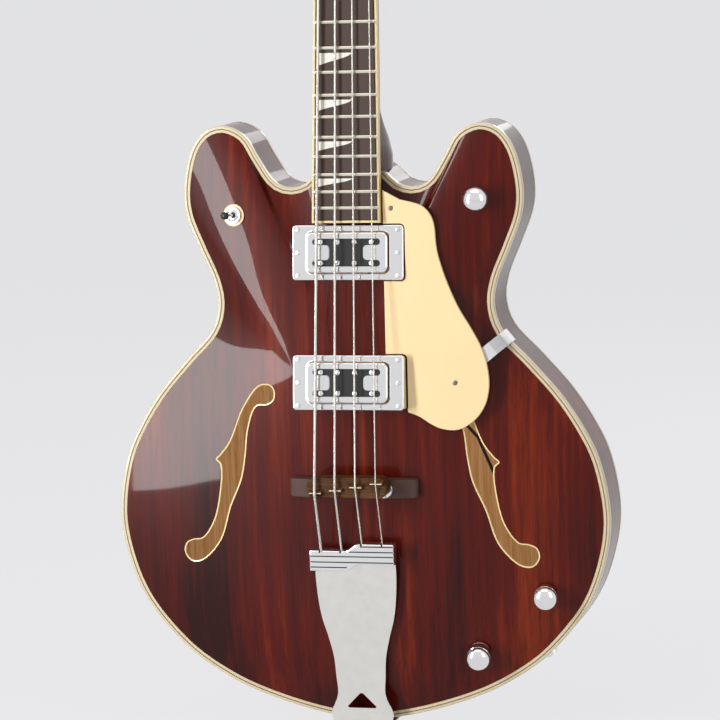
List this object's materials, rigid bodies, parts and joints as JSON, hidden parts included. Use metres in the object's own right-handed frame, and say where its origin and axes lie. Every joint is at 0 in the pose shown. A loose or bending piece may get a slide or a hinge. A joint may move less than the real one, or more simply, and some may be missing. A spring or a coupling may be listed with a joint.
{
  "type": "electric bass guitar",
  "caption": "Hollow arched electric bass guitar with f-holes, bound body, fretted neck, magnetic pickups, wooden bridge, wrap-over tailpiece, raised pickguard, knobs, selector and tuners.",
  "frame": {"origin": "the front of the fingerboard's end at the nut, on the neck's centre line, just under the head, where a wall hanger's fork carries the neck", "axes": "+Z from the body to the head along the upright body, -Y out of the front, +X towards the highest string's side"},
  "size_m": [0.431, 0.179, 1.2211],
  "materials": {
    "walnut_gloss": "translucent red-brown stain under clear gloss lacquer",
    "cream_binding": "cream, grey and cream plies, scraped and lacquered",
    "fingerboard_wood": "oiled dark rosewood with polished steel frets and pearl inlays",
    "bridge_wood": "oiled dark striped rosewood",
    "bare_wood": "bare, sanded",
    "cream_plastic": "polished cream plastic",
    "black_plastic": "moulded black plastic",
    "bone": "polished bone",
    "cable_sheath": "smooth cable sheath",
    "nickel_wire": "ground wound wire",
    "steel": "plain plated steel",
    "chrome": "mirror chrome plate with fine handling marks"
  },
  "bodies": {
    "instrument": {"back_binding": "cream_binding", "bass_tone_bar": "bare_wood", "body_back": "walnut_gloss", "body_rim": "walnut_gloss", "body_top": "walnut_gloss", "bridge_base": "bridge_wood", "bridge_pickup_base": "steel", "bridge_pickup_coils": "black_plastic", "bridge_pickup_cover": "chrome", "bridge_pickup_ring": "chrome", "bridge_saddle": "bridge_wood", "fingerboard": "fingerboard_wood", "fingerboard_binding": "cream_binding", "front_binding": "cream_binding", "heel_strap_button": "chrome", "master_volume_potentiometer": "steel", "neck": "walnut_gloss", "neck_block": "bare_wood", "neck_pickup_base": "steel", "neck_pickup_coils": "black_plastic", "neck_pickup_cover": "chrome", "neck_pickup_ring": "chrome", "neck_volume_potentiometer": "steel", "nut": "bone", "output_jack": "chrome", "pickguard": "cream_plastic", "pickguard_bracket": "chrome", "string_a": "nickel_wire", "string_anchor": "chrome", "string_d": "nickel_wire", "string_e": "nickel_wire", "string_g": "nickel_wire", "switch_housing": "chrome", "switch_washer": "cream_plastic", "tail_block": "bare_wood", "tail_strap_button": "chrome", "tailpiece_plate": "chrome", "tone_potentiometer": "steel", "treble_tone_bar": "bare_wood", "truss_rod": "steel", "truss_rod_cover": "black_plastic", "tuner_a_housing": "chrome", "tuner_d_housing": "chrome", "tuner_e_housing": "chrome", "tuner_g_housing": "chrome", "wiring_harness": "cable_sheath"},
    "master_volume": {"master_volume_knob": "chrome"},
    "neck_volume": {"neck_volume_knob": "chrome"},
    "tone": {"tone_knob": "chrome"},
    "selector": {"switch_lever": "chrome"},
    "bass_wheel": {"bass_thumbwheel": "steel"},
    "treble_wheel": {"treble_thumbwheel": "steel"},
    "tuner_e_key": {"tuner_e_key": "chrome"},
    "tuner_e_post": {"tuner_e_post": "chrome"},
    "tuner_a_key": {"tuner_a_key": "chrome"},
    "tuner_a_post": {"tuner_a_post": "chrome"},
    "tuner_d_key": {"tuner_d_key": "chrome"},
    "tuner_d_post": {"tuner_d_post": "chrome"},
    "tuner_g_key": {"tuner_g_key": "chrome"},
    "tuner_g_post": {"tuner_g_post": "chrome"}
  },
  "joints": [
    {"name": "master_volume_turn", "type": "hinge", "parent": "instrument", "child": "master_volume", "pos_m": [0.1093, -0.05071, -0.57547], "axis": [0.1208, -0.9909, 0.0591], "range_deg": [-150, 150]},
    {"name": "neck_volume_turn", "type": "hinge", "parent": "instrument", "child": "neck_volume", "pos_m": [0.1601, -0.05005, -0.91067], "axis": [0.1371, -0.9894, -0.0487], "range_deg": [-150, 150]},
    {"name": "tone_turn", "type": "hinge", "parent": "instrument", "child": "tone", "pos_m": [0.1019, -0.05177, -0.96177], "axis": [0.1182, -0.9789, -0.1669], "range_deg": [-150, 150]},
    {"name": "selector_tilt", "type": "hinge", "parent": "instrument", "child": "selector", "pos_m": [-0.101, -0.05245, -0.58767], "axis": [0.0072, 0.0586, 0.9983], "range_deg": [0, 24]},
    {"name": "bass_wheel_turn", "type": "hinge", "parent": "instrument", "child": "bass_wheel", "pos_m": [-0.0285, -0.07328, -0.81857], "axis": [0, -1, 0], "continuous": true},
    {"name": "treble_wheel_turn", "type": "hinge", "parent": "instrument", "child": "treble_wheel", "pos_m": [0.0285, -0.07328, -0.81857], "axis": [0, -1, 0], "continuous": true},
    {"name": "tuner_e_key_turn", "type": "hinge", "parent": "instrument", "child": "tuner_e_key", "pos_m": [-0.027, 0.04862, 0.06248], "axis": [-1, 0, 0], "continuous": true},
    {"name": "tuner_e_post_turn", "type": "hinge", "parent": "instrument", "child": "tuner_e_post", "pos_m": [-0.027, 0.02443, 0.05693], "axis": [0, -0.9489, 0.3156], "continuous": true},
    {"name": "tuner_a_key_turn", "type": "hinge", "parent": "instrument", "child": "tuner_a_key", "pos_m": [-0.0215, 0.07009, 0.127], "axis": [-1, 0, 0], "continuous": true},
    {"name": "tuner_a_post_turn", "type": "hinge", "parent": "instrument", "child": "tuner_a_post", "pos_m": [-0.0215, 0.0459, 0.12145], "axis": [0, -0.9489, 0.3156], "continuous": true},
    {"name": "tuner_d_key_turn", "type": "hinge", "parent": "instrument", "child": "tuner_d_key", "pos_m": [0.0215, 0.07009, 0.127], "axis": [1, 0, 0], "continuous": true},
    {"name": "tuner_d_post_turn", "type": "hinge", "parent": "instrument", "child": "tuner_d_post", "pos_m": [0.0215, 0.0459, 0.12145], "axis": [0, -0.9489, 0.3156], "continuous": true},
    {"name": "tuner_g_key_turn", "type": "hinge", "parent": "instrument", "child": "tuner_g_key", "pos_m": [0.027, 0.04862, 0.06248], "axis": [1, 0, 0], "continuous": true},
    {"name": "tuner_g_post_turn", "type": "hinge", "parent": "instrument", "child": "tuner_g_post", "pos_m": [0.027, 0.02443, 0.05693], "axis": [0, -0.9489, 0.3156], "continuous": true}
  ],
  "couplings": [
    {"joint": "tuner_e_post_turn", "follows": "tuner_e_key_turn", "ratio": -0.05},
    {"joint": "tuner_a_post_turn", "follows": "tuner_a_key_turn", "ratio": -0.05},
    {"joint": "tuner_d_post_turn", "follows": "tuner_d_key_turn", "ratio": 0.05},
    {"joint": "tuner_g_post_turn", "follows": "tuner_g_key_turn", "ratio": 0.05}
  ]
}
